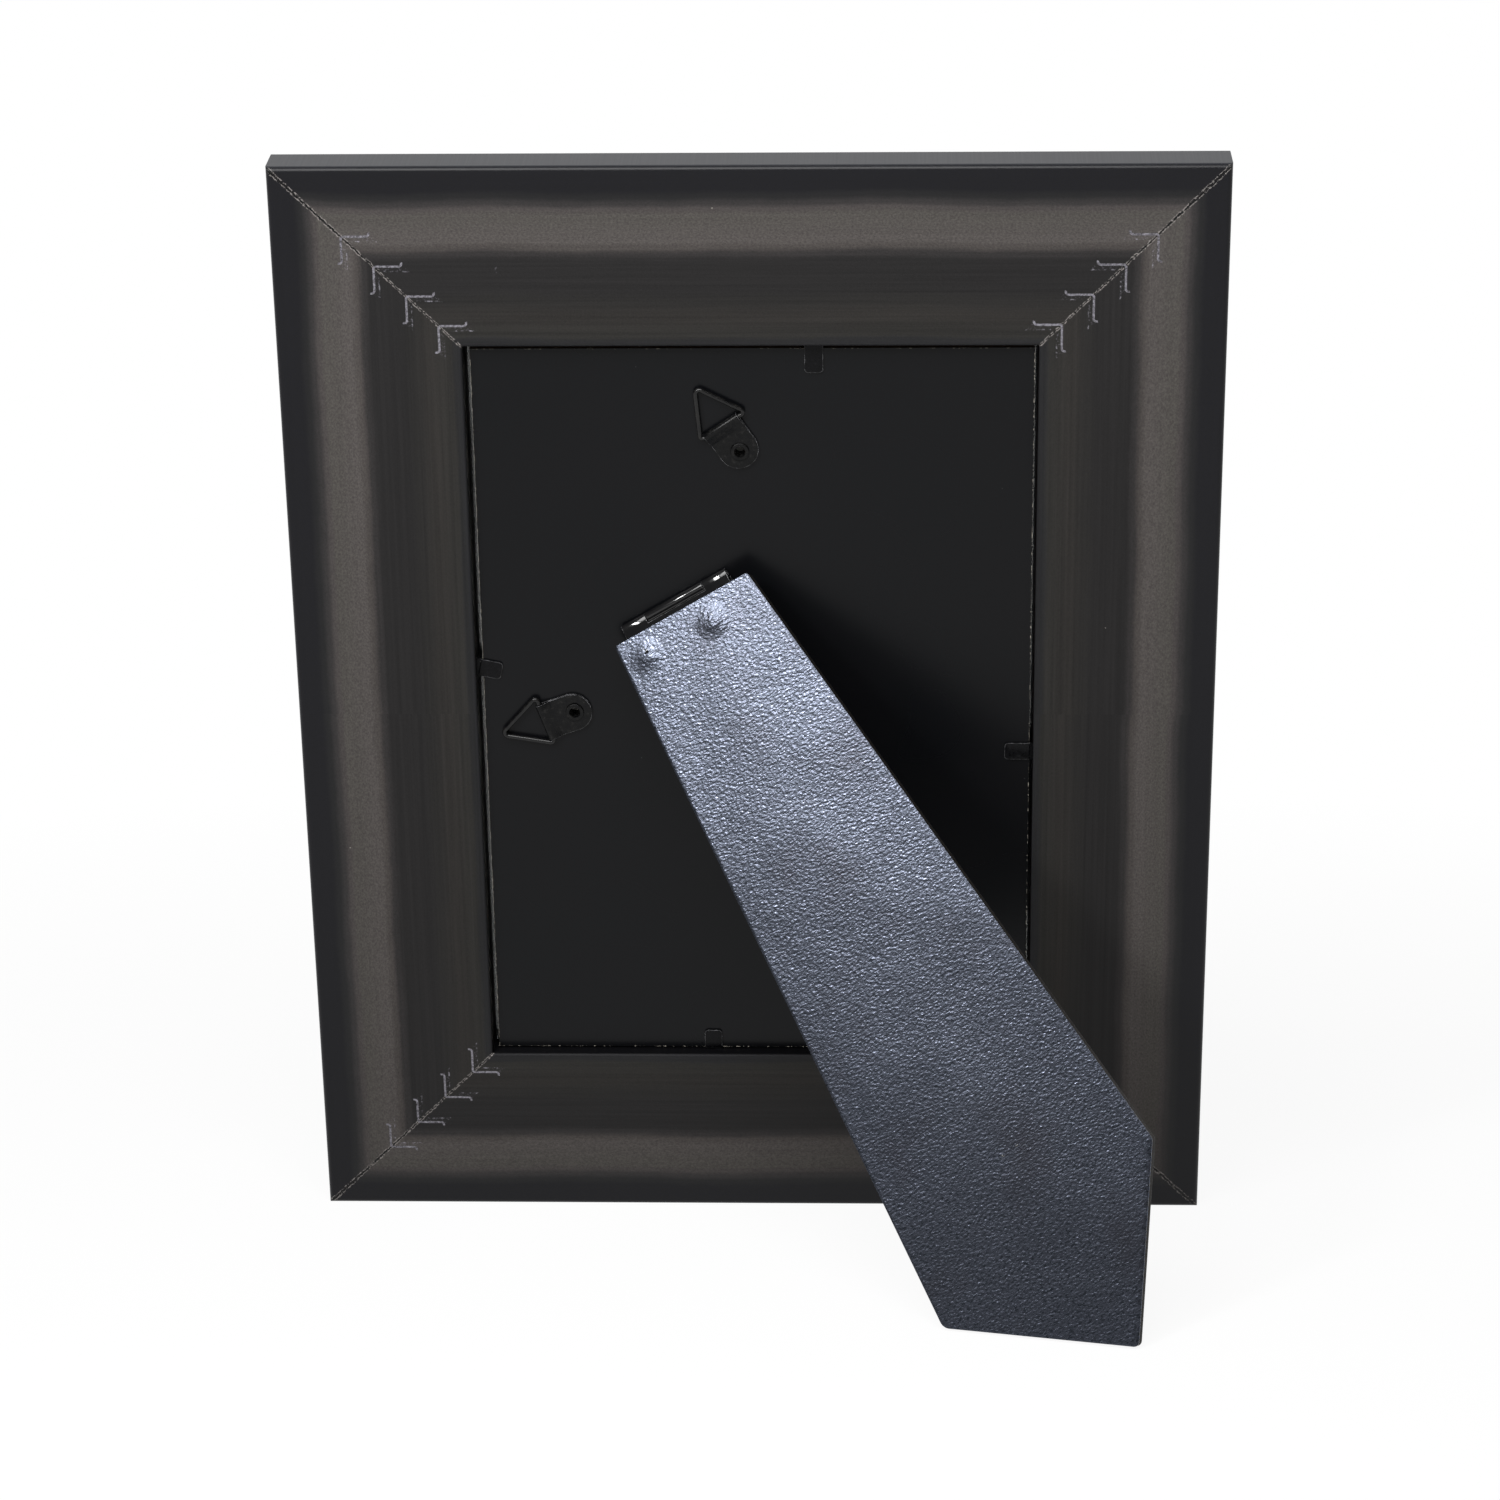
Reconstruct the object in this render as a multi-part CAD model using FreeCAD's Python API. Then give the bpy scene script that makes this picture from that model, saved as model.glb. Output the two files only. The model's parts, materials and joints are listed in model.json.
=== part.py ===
import FreeCAD, Part
import math
import os

V = FreeCAD.Vector

# An easel back photo frame, drawn lying on its face and then stood up on its strut.
# On the bench, x runs to the right and y up the frame as seen from behind, and z points
# out of the back, with z = 0 on the flat back of the moulding. Lengths are millimetres.

# Moulding
opening_width = 130.0        # rebate, side to side, for a five by seven inch print
opening_height = 181.0       # rebate, bottom to top
rail_back_width = 42.0       # flat back of the moulding, outer edge to rebate
lip_width = 6.0              # how far the front lip laps over the glass
wall_depth = 12.0            # outer wall, and the moulding at its sight edge
crown_rise = 2.0             # how far the face swells between them
back_arris = 1.2             # rounded edge round the back
front_arris = 2.0            # rounded edge round the face
rebate_arris = 0.6           # eased edge of the rebate
bead_width = 3.4             # small bead along the sight edge
bead_rise = 0.8
bead_quirk = 0.7             # groove that sets the bead off

# What lies in the rebate, from the back inwards
panel_recess = 3.5           # panel's face below the moulding's back
facing_thickness = 0.2
panel_thickness = 2.8
insert_thickness = 0.3
glass_thickness = 2.0
panel_gap_left = 1.4
panel_gap_right = 0.8
panel_gap_bottom = 0.4
panel_gap_top = 1.6
glass_gap = 0.5              # all round
insert_gap = 1.0             # all round

# Corner nails, bent from steel strip and driven across each mitre
nail_first = 16.0            # first apex from the outer corner, along each rail
nail_last_margin = 5.0       # last apex to the rebate
nail_count = 4
nail_leg = 5.6
nail_strip = 0.5
nail_height = 7.0
nail_bend = 0.6
nail_curl = 0.7              # curled lip at each leg's end
nail_curl_turn = 110.0       # degrees

# Flexible tabs that hold the panel in
tab_width = 4.2
tab_strip = 0.5
tab_lift = 0.1               # above the panel
tab_bend = 0.9               # wall to the line where the tab bends
tab_corner = 0.9
tab_blade = 6.0              # length driven into the wood
tab_root_gap = 0.05
tab_top_place = 14.3         # right of the middle
tab_top_reach = 7.3
tab_bottom_place = -11.3
tab_bottom_reach = 5.2
tab_left_drop = 79.7         # below the rebate's top
tab_left_reach = 5.9
tab_left_skew = -12.0        # degrees
tab_right_drop = 101.3
tab_right_reach = 6.6

# Strut and its hinge
strut_opening = 32.0         # degrees between strut and panel when it stands
frame_lean = 14.0            # degrees that the frame leans back
hinge_turn = 31.0            # degrees that the hinge line rises to the right
hinge_inset = 46.8           # middle of the hinge, from the rebate's left wall
hinge_drop = 63.0            # and below its top
knuckle_radius = 1.15
pin_radius = 0.6
pin_clearance = 0.05
knuckle_gap = 0.25
hinge_length = 28.2
middle_knuckle = 15.2
leaf_strip = 0.5
leaf_depth = 17.0
leaf_corner = 2.0
leaf_step = 0.3              # clearance between a leaf and the other leaf's knuckle
strut_left = 16.7            # board's straight edge, left of the hinge's middle
strut_right = 19.3           # its top right corner
strut_top = 3.3              # its top edge below the pin
foot_inset = 3.7             # folded foot inside the frame's right edge
foot_side = 46.0             # edge that stands on the floor when the frame lies wide
board_thickness = 2.5
cover_thickness = 0.3
lining_thickness = 0.15
top_corner = 0.8
heel_corner = 2.6
toe_corner = 1.2
side_corner = 1.6
strut_rivet_places = (-10.4, 6.6)
strut_rivet_drop = 8.6       # below the pin
panel_rivet_spacing = 9.0
panel_rivet_drop = 13.0
rivet_shank = 1.0            # radius
rivet_head = 2.1             # radius
rivet_head_height = 0.45
rivet_clinch = 1.7           # radius
rivet_clinch_height = 0.35

# Hangers: a wire triangle in a folded strap, held by an eyelet
hanger_top_x = -2.7          # eyelet, from the middle line
hanger_top_drop = 26.1       # and below the rebate's top
hanger_top_turn = 124.2      # degrees, the way the ring points
hanger_side_inset = 22.6     # from the rebate's left wall
hanger_side_drop = 91.1
hanger_side_turn = 199.6
strap_strip = 0.4
strap_width = 9.2
strap_reach = 8.2            # eyelet to the outside of the fold
strap_heel = 4.0             # eyelet to the rounded end
strap_slope = 25.0           # degrees, where the upper layer comes down
strap_bend = 1.0
strap_layers_gap = 0.1
strap_lift = 0.05
wire_radius = 0.55
wire_clearance = 0.06
ring_base = 12.5             # between the corners before they are rounded
ring_height = 11.4
ring_base_corner = 0.7
ring_apex_corner = 1.0
ring_slack = 0.4             # the ring lies this much to one side
ring_joint_gap = 0.3         # where the wire's two ends meet inside the fold
eyelet_bore = 1.3            # radius
eyelet_barrel = 1.6          # radius
eyelet_flange = 2.1          # radius
eyelet_flange_height = 0.4
eyelet_clearance = 0.05
eyelet_clinch = 2.2          # radius
eyelet_clinch_height = 0.3

overrun = 5.0                # how far a cutting tool runs past
same_point = 0.001           # ends of runs that are nearer than this meet

nail_pitch = (rail_back_width - nail_first - nail_last_margin) / (nail_count - 1)
frame_width = opening_width + 2 * rail_back_width
frame_height = opening_height + 2 * rail_back_width
half_width = frame_width / 2
moulding_width = rail_back_width + lip_width
panel_face = -panel_recess
panel_front = panel_face - facing_thickness - panel_thickness
insert_front = panel_front - insert_thickness
rebate_floor = insert_front - glass_thickness

left_wall = -opening_width / 2
right_wall = opening_width / 2
bottom_wall = rail_back_width
top_wall = frame_height - rail_back_width

hinge_x = left_wall + hinge_inset
hinge_y = top_wall - hinge_drop

X = V(1, 0, 0)
Y = V(0, 1, 0)
Z = V(0, 0, 1)


def cos(degrees):
    return math.cos(math.radians(degrees))


def sin(degrees):
    return math.sin(math.radians(degrees))


def tan(degrees):
    return math.tan(math.radians(degrees))


# Shapes that several pieces share

def box(x0, x1, y0, y1, z0, z1):
    """A block between two corners."""
    return Part.makeBox(x1 - x0, y1 - y0, z1 - z0, V(x0, y0, z0))


def disc(radius, z0, z1, x=0, y=0):
    """A round block standing along z."""
    return Part.makeCylinder(radius, z1 - z0, V(x, y, z0))


def bent(points, radii, closed=False):
    """Straight runs through the points, joined at each corner by a tangent arc."""
    count = len(points)
    corners = range(count) if closed else range(1, count - 1)
    edges = []
    here = None if closed else points[0]
    first = None
    for i in corners:
        corner = points[i]
        back = (points[i - 1] - corner).normalize()
        ahead = (points[(i + 1) % count] - corner).normalize()
        half = back.getAngle(ahead) / 2
        run = radii[i] / math.tan(half)
        start = corner + back * run
        end = corner + ahead * run
        inward = (back + ahead).normalize()
        middle = corner + inward * (radii[i] / math.sin(half) - radii[i])
        if here is None:
            first = start
        elif (start - here).Length > same_point:
            edges.append(Part.LineSegment(here, start).toShape())
        edges.append(Part.Arc(start, middle, end).toShape())
        here = end
    last = first if closed else points[-1]
    if (last - here).Length > same_point:
        edges.append(Part.LineSegment(here, last).toShape())
    return Part.Wire(edges)


def plate(outline, z0, z1):
    """A flat piece with this outline, drawn at z = 0."""
    blank = Part.Face(outline).extrude(Z * (z1 - z0))
    blank.translate(Z * z0)
    return blank


def strip(path, thickness, width, across):
    """Flat strip bent along a path, as wide as given in the direction across."""
    start = path.OrderedVertexes[0].Point
    first_edge = path.OrderedEdges[0]
    along = first_edge.tangentAt(first_edge.getParameterByLength(0))
    side = along.cross(across).normalize() * (thickness / 2)
    edge = across * (width / 2)
    corners = [start + side + edge, start - side + edge, start - side - edge, start + side - edge]
    section = Part.makePolygon(corners + corners[:1])
    return path.makePipeShell([section], True, False)


def fuse(first, *others):
    return first.fuse(list(others)).removeSplitter()


def place(shape, x, y, z, turn=0):
    """Turns a piece drawn at its own origin about z and sets it down on the bench."""
    moved = shape.copy()
    spot = FreeCAD.Placement(V(x, y, z), FreeCAD.Rotation(Z, turn))
    moved.Placement = spot.multiply(moved.Placement)
    return moved


# Moulding: one section, cut to length and mitred

def rail_section():
    """The moulding's section across x, from its outer edge inwards, on the xz plane."""
    def at(across, depth):
        return V(across, 0, depth)

    def quarter(centre_x, centre_z, radius, middle_angle):
        return at(centre_x + radius * cos(middle_angle), centre_z + radius * sin(middle_angle))

    face = -wall_depth
    rebate_edge = rail_back_width
    bead_start = moulding_width - bead_width
    quirk_end = bead_start - bead_quirk
    bead_side = face + bead_rise
    crown_middle = (front_arris + quirk_end) / 2
    arcs = [
        Part.Arc(at(0, -back_arris), quarter(back_arris, -back_arris, back_arris, 135), at(back_arris, 0)),
        Part.Arc(at(rebate_edge - rebate_arris, 0),
                 quarter(rebate_edge - rebate_arris, -rebate_arris, rebate_arris, 45),
                 at(rebate_edge, -rebate_arris)),
        Part.Arc(at(moulding_width, bead_side), at(moulding_width - bead_width / 2, face - bead_rise / 2),
                 at(bead_start, bead_side)),
        Part.Arc(at(quirk_end, bead_side), at(crown_middle, face - crown_rise), at(front_arris, face)),
        Part.Arc(at(front_arris, face), quarter(front_arris, face + front_arris, front_arris, -135),
                 at(0, face + front_arris)),
    ]
    edges = [arc.toShape() for arc in arcs]
    lines = [
        (at(back_arris, 0), at(rebate_edge - rebate_arris, 0)),
        (at(rebate_edge, -rebate_arris), at(rebate_edge, rebate_floor)),
        (at(rebate_edge, rebate_floor), at(moulding_width, rebate_floor)),
        (at(moulding_width, rebate_floor), at(moulding_width, bead_side)),
        (at(bead_start, bead_side), at(quirk_end, bead_side)),
        (at(0, face + front_arris), at(0, -back_arris)),
    ]
    edges += [Part.LineSegment(a, b).toShape() for a, b in lines]
    return Part.Face(Part.Wire(Part.__sortEdges__(edges)))


def rail(length):
    """A rail with its outer edge on the y axis from 0 to length, mitred at both ends."""
    bar = rail_section().extrude(Y * length)
    mitre = Part.makePolygon([V(0, 0, 0), V(moulding_width, moulding_width, 0),
                              V(moulding_width, length - moulding_width, 0), V(0, length, 0), V(0, 0, 0)])
    depth = wall_depth + crown_rise + overrun
    return bar.common(plate(mitre, -depth, overrun))


# Nails and tabs

def corner_nail():
    """A bent nail seen from its driven edge: apex at the origin, legs along +x and -y."""
    lip = nail_curl * tan(nail_curl_turn / 2)
    away = nail_curl_turn
    points = [
        V(nail_leg + lip, 0, 0) + V(cos(away), sin(away), 0) * lip,
        V(nail_leg + lip, 0, 0),
        V(0, 0, 0),
        V(0, -nail_leg - lip, 0),
        V(0, -nail_leg - lip, 0) + V(-sin(away), -cos(away), 0) * lip,
    ]
    path = bent(points, [0, nail_curl, nail_bend, nail_curl, 0])
    nail = strip(path, nail_strip, nail_height, Z)
    nail.translate(Z * (-nail_height / 2))
    return nail


def corner_nails(corner_x, corner_y, turn):
    """The row of nails along one mitre."""
    nails = []
    for i in range(nail_count):
        reach = nail_first + i * nail_pitch
        nail = corner_nail()
        nail.translate(V(reach, -reach, 0))
        nails.append(place(nail, corner_x, corner_y, 0, turn))
    return Part.makeCompound(nails)


def tab_flap(reach):
    """The bending half of a tab: wall at x = 0, panel's face at z = 0."""
    length = reach - tab_bend
    half = tab_width / 2
    outline = bent([V(0, -half, 0), V(length, -half, 0), V(length, half, 0), V(0, half, 0)],
                   [0, tab_corner, tab_corner, 0])
    sides = Part.Wire(outline.Edges + [Part.LineSegment(V(0, half, 0), V(0, -half, 0)).toShape()])
    flap = plate(sides, -tab_strip / 2, tab_strip / 2)
    root = Part.makeCylinder(tab_strip / 2, tab_width, V(0, -half, 0), Y)
    flap = fuse(flap, root)
    flap.translate(V(tab_bend, 0, tab_lift + tab_strip / 2))
    return flap


def tab_blade_piece():
    """The half of a tab that is driven into the wood, with its pointed end."""
    half = tab_width / 2
    end = tab_bend - tab_strip / 2 - tab_root_gap
    points = [V(end, -half, 0), V(end, half, 0), V(half - tab_blade, half, 0), V(-tab_blade, 0, 0),
              V(half - tab_blade, -half, 0)]
    return plate(Part.makePolygon(points + points[:1]), tab_lift, tab_lift + tab_strip)


tabs = {
    "top": (tab_top_place, top_wall, -90, tab_top_reach),
    "bottom": (tab_bottom_place, bottom_wall, 90, tab_bottom_reach),
    "left": (left_wall, top_wall - tab_left_drop, tab_left_skew, tab_left_reach),
    "right": (right_wall, top_wall - tab_right_drop, 180, tab_right_reach),
}


# Hinge and strut, drawn about the pin: x along the pin, y up the strut, z out of its face

board_back = knuckle_radius + lining_thickness
board_face = board_back + board_thickness
cover_face = board_face + cover_thickness
hinge_z = panel_face + knuckle_radius
side_knuckle = (hinge_length - middle_knuckle) / 2 - knuckle_gap
panel_rivet_places = (-panel_rivet_spacing / 2, panel_rivet_spacing / 2)


def knuckle(x0, x1, leaf_side):
    """A rolled knuckle with the tongue that joins it to its leaf, at z = leaf_side of the pin."""
    tube = Part.makeCylinder(knuckle_radius, x1 - x0, V(x0, 0, 0), X)
    near = min(leaf_side * knuckle_radius, leaf_side * (knuckle_radius - leaf_strip))
    tongue = box(x0, x1, -knuckle_radius - leaf_step - leaf_corner, 0, near, near + leaf_strip)
    bore = Part.makeCylinder(pin_radius + pin_clearance, x1 - x0, V(x0, 0, 0), X)
    return fuse(tube, tongue).cut(bore)


def leaf(leaf_side, knuckles, rivet_places, rivet_drop):
    """A hinge leaf: a plate with rounded lower corners, its knuckles and rivet holes."""
    half = hinge_length / 2
    near = min(leaf_side * knuckle_radius, leaf_side * (knuckle_radius - leaf_strip))
    upper = -knuckle_radius - leaf_step
    outline = bent([V(-half, upper, 0), V(-half, -leaf_depth, 0), V(half, -leaf_depth, 0), V(half, upper, 0)],
                   [0, leaf_corner, leaf_corner, 0])
    closing = Part.LineSegment(V(half, upper, 0), V(-half, upper, 0)).toShape()
    blank = plate(Part.Wire(outline.Edges + [closing]), near, near + leaf_strip)
    blank = fuse(blank, *[knuckle(x0, x1, leaf_side) for x0, x1 in knuckles])
    for x in rivet_places:
        blank = blank.cut(disc(rivet_shank, near, near + leaf_strip, x, -rivet_drop))
    return blank


def hinge_panel_leaf():
    half = middle_knuckle / 2
    return leaf(-1, [(-half, half)], panel_rivet_places, panel_rivet_drop)


def hinge_strut_leaf():
    end = hinge_length / 2
    return leaf(1, [(-end, -end + side_knuckle), (end - side_knuckle, end)],
                strut_rivet_places, strut_rivet_drop)


def hinge_pin():
    return Part.makeCylinder(pin_radius, hinge_length, V(-hinge_length / 2, 0, 0), X)


def domed(radius, height):
    """A low dome on z = 0."""
    sphere_radius = (radius * radius + height * height) / (2 * height)
    ball = Part.makeSphere(sphere_radius, V(0, 0, height - sphere_radius))
    return ball.common(disc(radius, 0, height + overrun))


def rivet(head_z, tail_z):
    """A rivet whose domed head sits on head_z and whose clinched tail is at tail_z."""
    facing = 1 if head_z > tail_z else -1
    head = domed(rivet_head, rivet_head_height)
    if facing < 0:
        head.rotate(V(0, 0, 0), X, 180)
    head.translate(Z * head_z)
    shank = disc(rivet_shank, min(head_z, tail_z), max(head_z, tail_z))
    ends = sorted((tail_z, tail_z - facing * rivet_clinch_height))
    return fuse(shank, head, disc(rivet_clinch, ends[0], ends[1]))


def rivets(places, drop, head_z, tail_z):
    return Part.makeCompound([place(rivet(head_z, tail_z), x, -drop, 0) for x in places])


def standing_rise(direction):
    """How much a bench direction rises once the frame leans back."""
    return direction.y * cos(frame_lean) - direction.z * sin(frame_lean)


arris_lift = back_arris * (cos(frame_lean) + sin(frame_lean) - 1)
hinge_along = V(cos(hinge_turn), sin(hinge_turn), 0)
hinge_up = V(-sin(hinge_turn), cos(hinge_turn), 0)
hinge_place = V(hinge_x, hinge_y, hinge_z)
open_down = hinge_up * -cos(strut_opening) + Z * sin(strut_opening)
open_out = Z * cos(strut_opening) + hinge_up * sin(strut_opening)


def floor_line(x):
    """How far down the strut, at x along the hinge, its back reaches the floor."""
    height = standing_rise(hinge_place) - arris_lift
    height += x * standing_rise(hinge_along) + knuckle_radius * standing_rise(open_out)
    return height / -standing_rise(open_down)


def strut_outline():
    """The board's outline: a straight left edge, a flared right one and a foot with two edges,
    level when the frame stands tall and when it stands wide."""
    fold_side = half_width - foot_inset - hinge_x
    slope = standing_rise(hinge_along) / -standing_rise(open_down)
    # the folded foot's outer edge is the line x * cos + drop * sin = fold_side
    toe_x = (fold_side - floor_line(0) * sin(hinge_turn)) / (cos(hinge_turn) + slope * sin(hinge_turn))
    toe = V(toe_x, -floor_line(toe_x), 0)
    side = toe + V(sin(hinge_turn), cos(hinge_turn), 0) * foot_side
    heel = V(-strut_left, -floor_line(-strut_left), 0)
    points = [V(-strut_left, -strut_top, 0), heel, toe, side, V(strut_right, -strut_top, 0)]
    return bent(points, [top_corner, heel_corner, toe_corner, side_corner, top_corner], closed=True)


def rivet_bores(z0, z1, radius):
    return [disc(radius, z0, z1, x, -strut_rivet_drop) for x in strut_rivet_places]


def strut_board():
    board = plate(strut_outline(), board_back, board_face)
    return board.cut(rivet_bores(board_back, board_face, rivet_shank))


def strut_lining():
    lining = plate(strut_outline(), knuckle_radius, board_back)
    return lining.cut(rivet_bores(knuckle_radius, board_back, rivet_shank))


def strut_cover():
    """The covering of the outer face, raised over the two rivet heads."""
    cover = plate(strut_outline(), board_face, cover_face)
    for x in strut_rivet_places:
        bump = domed(rivet_head + 2 * cover_thickness, rivet_head_height)
        cover = fuse(cover, place(bump, x, -strut_rivet_drop, cover_face))
    for x in strut_rivet_places:
        cover = cover.cut(place(domed(rivet_head, rivet_head_height), x, -strut_rivet_drop, board_face))
    return cover


def on_hinge(shape, opened=0):
    """Sets a piece drawn about the pin on the panel, swung out by the opening."""
    swung = shape.copy()
    swung.rotate(V(0, 0, 0), X, -opened)
    return place(swung, hinge_x, hinge_y, hinge_z, hinge_turn)


# Hangers, drawn about the eyelet: x towards the ring, z = 0 on the panel

fold_radius = wire_radius + wire_clearance + strap_strip / 2
fold_x = strap_reach - fold_radius - strap_strip / 2
fold_z = strap_lift + strap_strip / 2 + fold_radius
strap_top = strap_lift + 2 * strap_strip + strap_layers_gap


def strap():
    """One strip folded back on itself round the ring's wire, with a rounded end and a hole."""
    lower = strap_lift + strap_strip / 2
    upper = strap_top - strap_strip / 2
    front = fold_x + fold_radius
    crest = fold_z + fold_radius * tan(45 + strap_slope / 2)
    slope_run = (crest - upper) / tan(strap_slope)
    points = [V(-strap_heel, 0, lower), V(front, 0, lower), V(front, 0, crest),
              V(front - slope_run, 0, upper), V(-strap_heel, 0, upper)]
    path = bent(points, [0, fold_radius, fold_radius, strap_bend, 0])
    folded = strip(path, strap_strip, strap_width, Y)
    half = strap_width / 2
    heel_x = half - strap_heel
    plan = fuse(box(heel_x, strap_reach + overrun, -half, half, 0, strap_reach),
                disc(half, 0, strap_reach, heel_x))
    hole = disc(eyelet_barrel + eyelet_clearance, 0, strap_reach)
    return folded.common(plan).cut(hole)


def ring():
    """The wire triangle, its base through the fold and its ends meeting there."""
    half = ring_base / 2
    gap = ring_joint_gap / 2
    shift = -ring_slack
    points = [V(fold_x, shift + gap, fold_z), V(fold_x, shift + half, fold_z),
              V(fold_x + ring_height, shift, fold_z), V(fold_x, shift - half, fold_z),
              V(fold_x, shift - gap, fold_z)]
    path = bent(points, [0, ring_base_corner, ring_apex_corner, ring_base_corner, 0])
    section = Part.Wire(Part.makeCircle(wire_radius, points[0], Y))
    return path.makePipeShell([section], True, False)


def eyelet():
    """A hollow rivet: rolled flange on the strap, barrel through the panel, clinched in front."""
    bottom = panel_front - panel_face
    flange_z = strap_top + eyelet_clearance
    roll = eyelet_flange_height / 2
    flange = disc(eyelet_flange - roll, flange_z, flange_z + eyelet_flange_height)
    rim = Part.makeTorus(eyelet_flange - roll, roll, V(0, 0, flange_z + roll))
    barrel = disc(eyelet_barrel, bottom, flange_z)
    clinch = disc(eyelet_clinch, bottom, bottom + eyelet_clinch_height)
    solid = fuse(barrel, flange, rim, clinch)
    return solid.cut(disc(eyelet_bore, bottom, flange_z + eyelet_flange_height))


hangers = {
    "top": (hanger_top_x, top_wall - hanger_top_drop, hanger_top_turn),
    "side": (left_wall + hanger_side_inset, top_wall - hanger_side_drop, hanger_side_turn),
}


# The flat pieces in the rebate

def glass_pane():
    return box(left_wall + glass_gap, right_wall - glass_gap, bottom_wall + glass_gap, top_wall - glass_gap,
               rebate_floor, insert_front)


def photo_insert():
    return box(left_wall + insert_gap, right_wall - insert_gap, bottom_wall + insert_gap,
               top_wall - insert_gap, insert_front, panel_front)


def panel_sheet(z0, z1):
    return box(left_wall + panel_gap_left, right_wall - panel_gap_right, bottom_wall + panel_gap_bottom,
               top_wall - panel_gap_top, z0, z1)


def panel_holes(z0, z1):
    """Holes for the two eyelets and the hinge's rivets, sunk in front for their clinched ends."""
    tools = []
    for x, y, turn in hangers.values():
        tools.append(disc(eyelet_barrel, z0, z1, x, y))
        tools.append(disc(eyelet_clinch, panel_front, panel_front + eyelet_clinch_height, x, y))
    for x in panel_rivet_places:
        spot = hinge_place + hinge_along * x - hinge_up * panel_rivet_drop
        tools.append(disc(rivet_shank, z0, z1, spot.x, spot.y))
        tools.append(disc(rivet_clinch, panel_front, panel_front + rivet_clinch_height, spot.x, spot.y))
    return tools


def back_panel():
    return panel_sheet(panel_front, panel_face - facing_thickness).cut(panel_holes(panel_front, panel_face))


def panel_facing():
    return panel_sheet(panel_face - facing_thickness, panel_face).cut(panel_holes(panel_front, panel_face))


# Everything on the bench, by name

def tab_on_wall(shape, name):
    x, y, turn, reach = tabs[name]
    return place(shape, x, y, panel_face, turn)


def bench_pieces():
    pieces = {}
    rails = {
        "rail_left": place(rail(frame_height), -half_width, 0, 0),
        "rail_right": place(rail(frame_height), half_width, frame_height, 0, 180),
        "rail_bottom": place(rail(frame_width), half_width, 0, 0, 90),
        "rail_top": place(rail(frame_width), -half_width, frame_height, 0, -90),
    }
    corners = {
        "top_left": (-half_width, frame_height, 0),
        "top_right": (half_width, frame_height, -90),
        "bottom_right": (half_width, 0, 180),
        "bottom_left": (-half_width, 0, 90),
    }
    nails = {"corner_nails_" + name: corner_nails(*spot) for name, spot in corners.items()}
    blades = Part.makeCompound([tab_on_wall(tab_blade_piece(), name) for name in tabs])
    driven = [solid for group in list(nails.values()) + [blades] for solid in group.Solids]
    for name, bar in rails.items():
        tools = [s for s in driven if s.BoundBox.intersect(bar.BoundBox)]
        pieces[name] = bar.cut(tools)
    pieces.update(nails)
    pieces["tab_blades"] = blades
    for name, (x, y, turn, reach) in tabs.items():
        pieces["tab_" + name] = tab_on_wall(tab_flap(reach), name)
    pieces["glass_pane"] = glass_pane()
    pieces["photo_insert"] = photo_insert()
    pieces["back_panel"] = back_panel()
    pieces["panel_facing"] = panel_facing()
    pieces["hinge_panel_leaf"] = on_hinge(hinge_panel_leaf())
    pieces["hinge_pin"] = on_hinge(hinge_pin())
    leaf_top = leaf_strip - knuckle_radius
    pieces["hinge_panel_rivets"] = on_hinge(rivets(panel_rivet_places, panel_rivet_drop, leaf_top,
                                                   panel_front - hinge_z + rivet_clinch_height))
    pieces["hinge_strut_leaf"] = on_hinge(hinge_strut_leaf(), strut_opening)
    pieces["hinge_strut_rivets"] = on_hinge(rivets(strut_rivet_places, strut_rivet_drop, board_face,
                                                   knuckle_radius - leaf_strip), strut_opening)
    pieces["strut_board"] = on_hinge(strut_board(), strut_opening)
    pieces["strut_lining"] = on_hinge(strut_lining(), strut_opening)
    pieces["strut_cover"] = on_hinge(strut_cover(), strut_opening)
    for name, (x, y, turn) in hangers.items():
        pieces["hanger_" + name + "_strap"] = place(strap(), x, y, panel_face, turn)
        pieces["hanger_" + name + "_ring"] = place(ring(), x, y, panel_face, turn)
        pieces["hanger_" + name + "_eyelet"] = place(eyelet(), x, y, panel_face, turn)
    return pieces


# Standing up: the picture faces -Y, the frame leans back and the strut's foot is on the floor

def stand_placement(pieces):
    """Leans the frame back, then centres the whole on the floor."""
    lean = FreeCAD.Matrix(-1, 0, 0, 0,
                          0, sin(frame_lean), cos(frame_lean), 0,
                          0, cos(frame_lean), -sin(frame_lean), -arris_lift,
                          0, 0, 0, 1)
    upright = FreeCAD.Placement(lean)
    extent = FreeCAD.BoundBox()
    for shape in pieces.values():
        stood = shape.copy()
        stood.Placement = upright.multiply(stood.Placement)
        extent.add(stood.optimalBoundingBox(False, False))
    centred = FreeCAD.Placement(V(-extent.Center.x, -extent.Center.y, 0), FreeCAD.Rotation())
    return centred.multiply(upright)


pieces = bench_pieces()
stand = stand_placement(pieces)
os.makedirs("parts", exist_ok=True)
for name, shape in pieces.items():
    shape.Placement = stand.multiply(shape.Placement)
    shape.exportStep("parts/" + name + ".step")
    print(name, len(shape.Solids), "solid(s)", "valid" if shape.isValid() else "NOT VALID",
          "volume", round(shape.Volume, 2))
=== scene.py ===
import json
import math

import bpy
from mathutils import Matrix, Vector


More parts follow.
